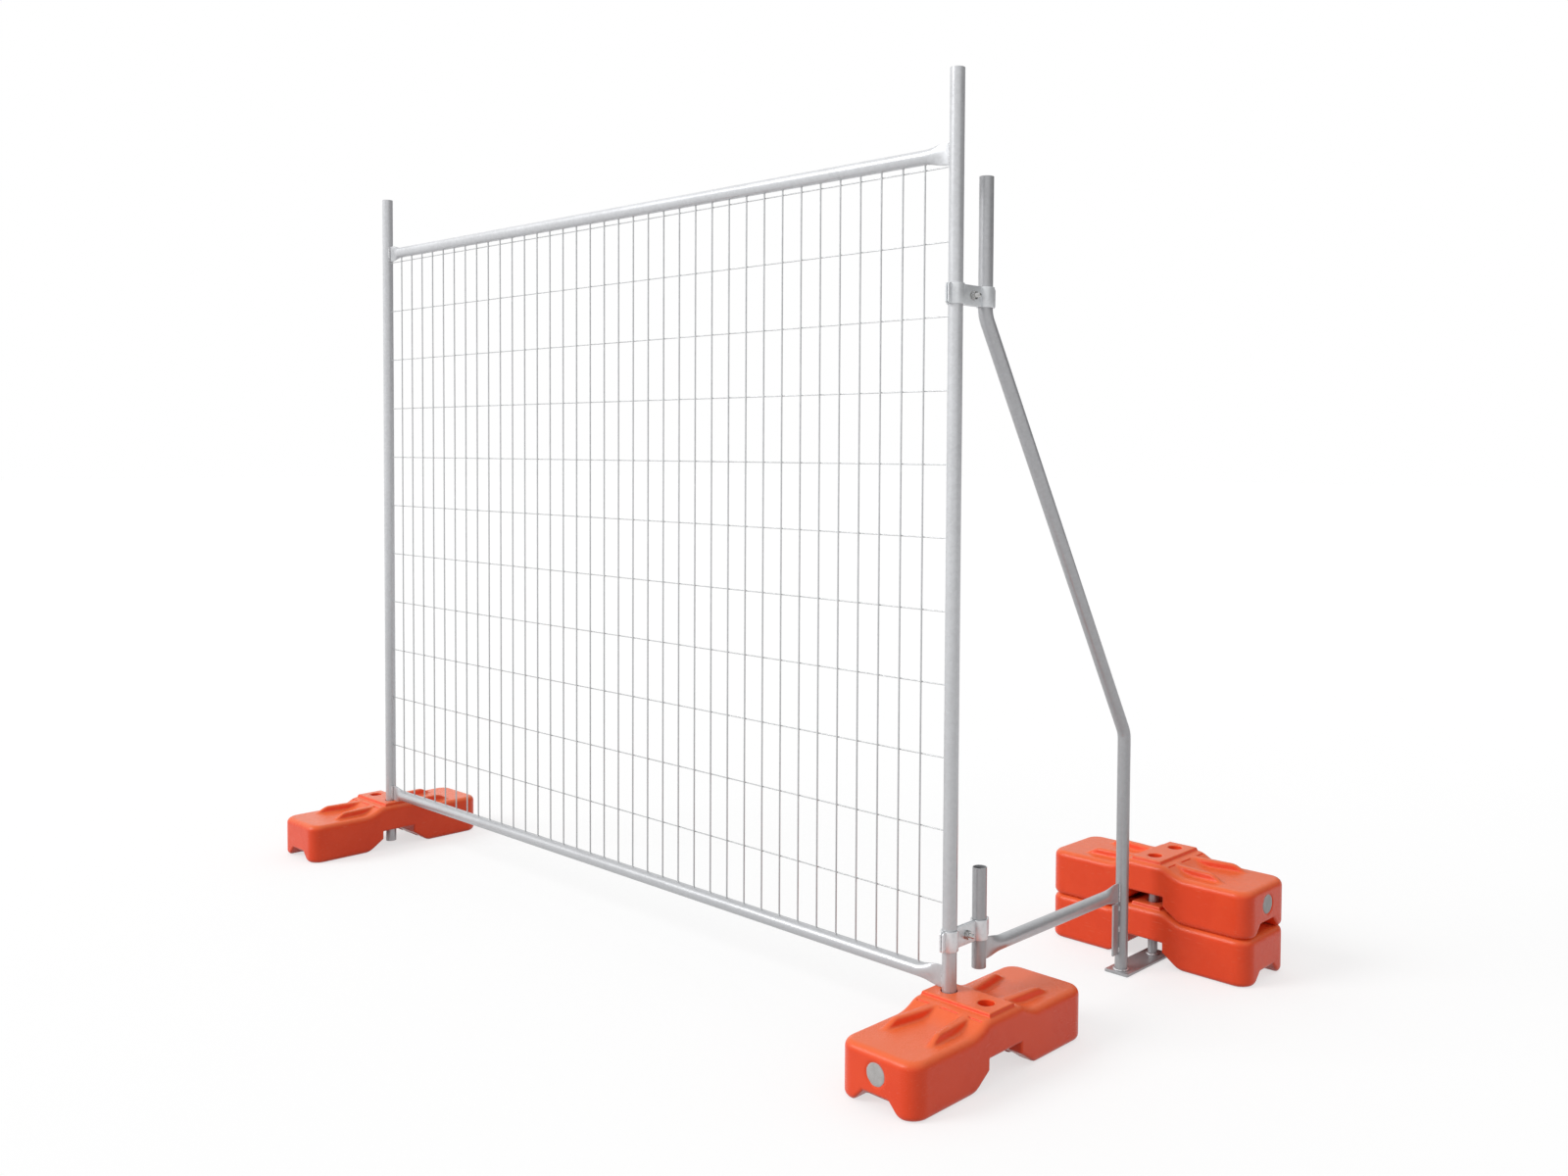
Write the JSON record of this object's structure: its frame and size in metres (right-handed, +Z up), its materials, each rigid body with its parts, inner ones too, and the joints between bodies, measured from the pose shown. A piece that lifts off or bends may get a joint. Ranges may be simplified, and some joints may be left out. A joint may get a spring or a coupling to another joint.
{
  "type": "temporary fence panel",
  "caption": "Temporary site fence panel: welded tube frame with wire mesh, standing in moulded ballast feet, with a clamped back stay held down by stacked blocks.",
  "frame": {"origin": "on the ground under the middle of the whole outline", "axes": "+X along the panel towards the braced post, +Y back towards the stay's ballast, +Z up"},
  "size_m": [2.8124, 1.2798, 2.1],
  "materials": {
    "galvanised_tube": "hot-dip galvanised tube, dull grey with a soft spangle",
    "mesh_wire": "galvanised wire, dull grey",
    "weld_bead": "weld bead under galvanising",
    "clamp_steel": "pressed sheet steel, galvanised",
    "zinc_fastener": "bright zinc plated fastener",
    "orange_shell": "orange blow-moulded polyethylene, matt with light scuffs",
    "concrete_fill": "cast concrete fill"
  },
  "bodies": {
    "panel": {"left_post": "galvanised_tube", "right_post": "galvanised_tube", "top_rail": "galvanised_tube", "bottom_rail": "galvanised_tube", "upright_wires": "mesh_wire", "cross_wires": "mesh_wire", "frame_welds": "weld_bead"},
    "left_foot": {"left_foot_shell": "orange_shell", "left_foot_fill": "concrete_fill"},
    "right_foot": {"right_foot_shell": "orange_shell", "right_foot_fill": "concrete_fill"},
    "lower_clamp": {"lower_clamp_fixed_jaw": "clamp_steel", "lower_clamp_bolt": "zinc_fastener"},
    "lower_clamp_jaw": {"lower_clamp_loose_jaw": "clamp_steel", "lower_clamp_washer": "zinc_fastener"},
    "lower_clamp_nut": {"lower_clamp_nut": "zinc_fastener"},
    "upper_clamp": {"upper_clamp_fixed_jaw": "clamp_steel", "upper_clamp_bolt": "zinc_fastener"},
    "upper_clamp_jaw": {"upper_clamp_loose_jaw": "clamp_steel", "upper_clamp_washer": "zinc_fastener"},
    "upper_clamp_nut": {"upper_clamp_nut": "zinc_fastener"},
    "stay": {"stay_head_tube": "galvanised_tube", "stay_upper_bend": "galvanised_tube", "stay_diagonal_tube": "galvanised_tube", "stay_lower_bend": "galvanised_tube", "stay_upright_tube": "galvanised_tube", "stay_stub": "galvanised_tube", "stay_rail": "galvanised_tube", "stay_gusset": "galvanised_tube", "base_plate": "galvanised_tube", "ballast_pin": "galvanised_tube", "stay_welds": "weld_bead"},
    "lower_ballast": {"lower_ballast_shell": "orange_shell", "lower_ballast_fill": "concrete_fill"},
    "upper_ballast": {"upper_ballast_shell": "orange_shell", "upper_ballast_fill": "concrete_fill"}
  },
  "joints": [
    {"name": "left_foot_lift", "type": "slide", "parent": "panel", "child": "left_foot", "axis": [0, 0, 1], "range_m": [-0.15, 0]},
    {"name": "right_foot_lift", "type": "slide", "parent": "panel", "child": "right_foot", "axis": [0, 0, 1], "range_m": [-0.15, 0]},
    {"name": "lower_clamp_swivel", "type": "hinge", "parent": "panel", "child": "lower_clamp", "pos_m": [1.11625, -0.34985, 0.25468], "axis": [0, 0, 1], "range_deg": [-35, 35]},
    {"name": "upper_clamp_swivel", "type": "hinge", "parent": "panel", "child": "upper_clamp", "pos_m": [1.11625, -0.34985, 1.63], "axis": [0, 0, 1], "range_deg": [-35, 35]},
    {"name": "stay_swivel", "type": "hinge", "parent": "lower_clamp", "child": "stay", "pos_m": [1.11625, -0.24785, 0.25468], "axis": [0, 0, 1], "range_deg": [-30, 30]},
    {"name": "lower_clamp_open", "type": "slide", "parent": "lower_clamp", "child": "lower_clamp_jaw", "axis": [1, 0, 0], "range_m": [0, 0.006]},
    {"name": "lower_nut_turn", "type": "hinge", "parent": "lower_clamp_jaw", "child": "lower_clamp_nut", "pos_m": [1.11625, -0.29885, 0.25468], "axis": [1, 0, 0], "range_deg": [0, 1440]},
    {"name": "upper_clamp_open", "type": "slide", "parent": "upper_clamp", "child": "upper_clamp_jaw", "axis": [1, 0, 0], "range_m": [0, 0.006]},
    {"name": "upper_nut_turn", "type": "hinge", "parent": "upper_clamp_jaw", "child": "upper_clamp_nut", "pos_m": [1.11625, -0.29885, 1.63], "axis": [1, 0, 0], "range_deg": [0, 1440]},
    {"name": "lower_ballast_lift", "type": "slide", "parent": "stay", "child": "lower_ballast", "axis": [0, 0, 1], "range_m": [0, 0.2]},
    {"name": "upper_ballast_lift", "type": "slide", "parent": "lower_ballast", "child": "upper_ballast", "axis": [0, 0, 1], "range_m": [0, 0.12]}
  ],
  "couplings": [
    {"joint": "upper_clamp_swivel", "follows": "lower_clamp_swivel", "ratio": 1},
    {"joint": "lower_nut_turn", "follows": "lower_clamp_open", "rad_per_m": 4188.8},
    {"joint": "upper_nut_turn", "follows": "upper_clamp_open", "rad_per_m": 4188.8}
  ]
}
